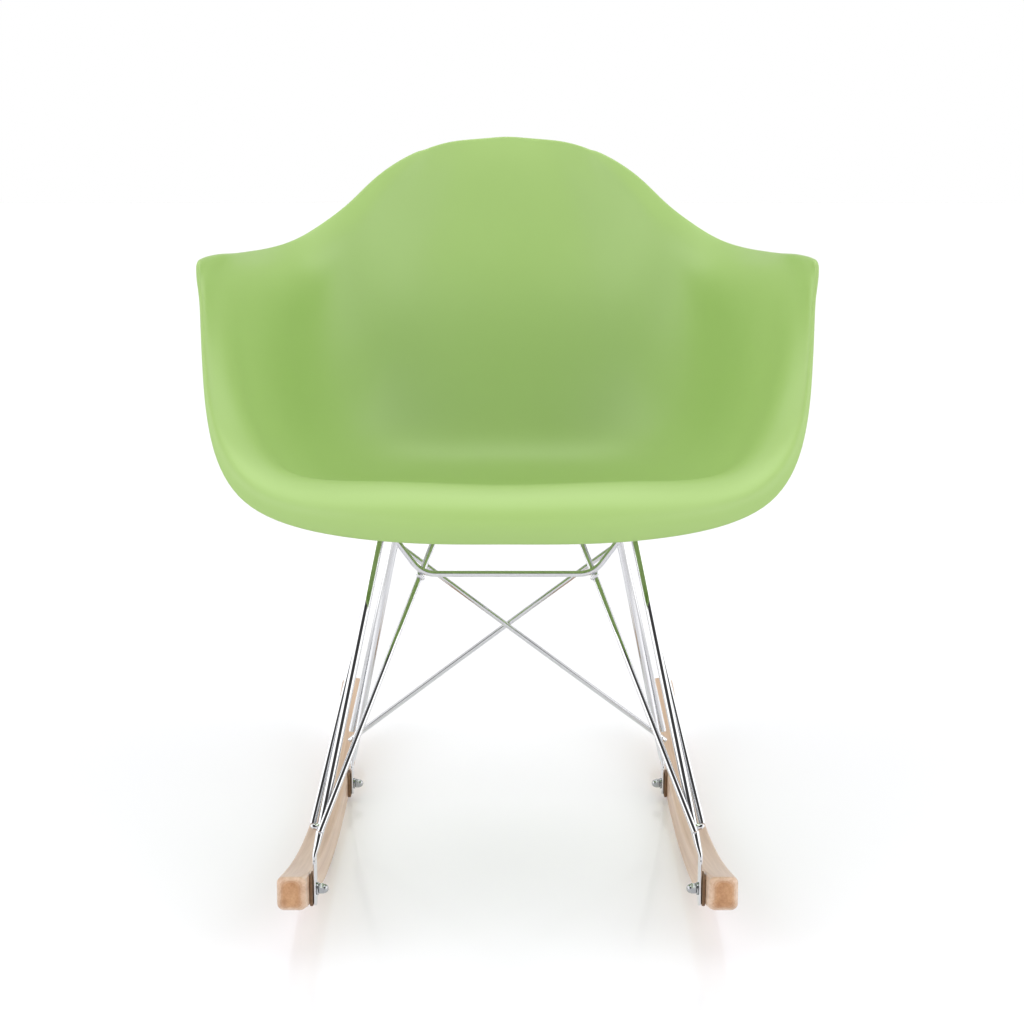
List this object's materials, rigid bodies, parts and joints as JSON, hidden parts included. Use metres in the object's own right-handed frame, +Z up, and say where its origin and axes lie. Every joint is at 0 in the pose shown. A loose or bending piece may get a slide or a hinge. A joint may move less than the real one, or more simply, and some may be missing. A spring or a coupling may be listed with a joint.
{
  "type": "rocking chair",
  "caption": "Rocking chair with a moulded plastic arm shell on a welded chrome rod base, bolted to curved wooden rockers.",
  "frame": {"origin": "on the floor plane, under the middle of the whole chair's outline", "axes": "+X towards the right-hand side as seen from the front, +Y towards the back of the chair, +Z up; the sitter faces -Y"},
  "size_m": [0.639, 0.697, 0.801],
  "materials": {
    "shell_plastic": "satin",
    "base_chrome": "polished",
    "fastener_zinc": "satin",
    "mount_rubber": "matte",
    "pad_fibre": "matte",
    "rocker_wood": "satin"
  },
  "bodies": {
    "root": {"arm_shell": "shell_plastic", "dome_nut_front_left": "fastener_zinc", "dome_nut_front_right": "fastener_zinc", "dome_nut_rear_left": "fastener_zinc", "dome_nut_rear_right": "fastener_zinc", "front_cross_bar": "base_chrome", "front_leg_left": "base_chrome", "front_leg_right": "base_chrome", "front_rail": "base_chrome", "front_side_strut_left": "base_chrome", "front_side_strut_right": "base_chrome", "front_strut_left": "base_chrome", "front_strut_right": "base_chrome", "mount_plate_front_left": "base_chrome", "mount_plate_front_right": "base_chrome", "mount_plate_rear_left": "base_chrome", "mount_plate_rear_right": "base_chrome", "mount_screw_front_left": "fastener_zinc", "mount_screw_front_right": "fastener_zinc", "mount_screw_rear_left": "fastener_zinc", "mount_screw_rear_right": "fastener_zinc", "rear_brace_left": "base_chrome", "rear_brace_right": "base_chrome", "rear_leg_left": "base_chrome", "rear_leg_right": "base_chrome", "rear_rail": "base_chrome", "rear_side_strut_left": "base_chrome", "rear_side_strut_right": "base_chrome", "rocker_bolt_front_left": "fastener_zinc", "rocker_bolt_front_right": "fastener_zinc", "rocker_bolt_rear_left": "fastener_zinc", "rocker_bolt_rear_right": "fastener_zinc", "rocker_left": "rocker_wood", "rocker_right": "rocker_wood", "shock_mount_front_left": "mount_rubber", "shock_mount_front_right": "mount_rubber", "shock_mount_rear_left": "mount_rubber", "shock_mount_rear_right": "mount_rubber", "side_rail_left": "base_chrome", "side_rail_right": "base_chrome", "tab_pad_front_left": "pad_fibre", "tab_pad_front_right": "pad_fibre", "tab_pad_rear_left": "pad_fibre", "tab_pad_rear_right": "pad_fibre", "washer_front_left": "fastener_zinc", "washer_front_right": "fastener_zinc", "washer_rear_left": "fastener_zinc", "washer_rear_right": "fastener_zinc"}
  },
  "joints": []
}
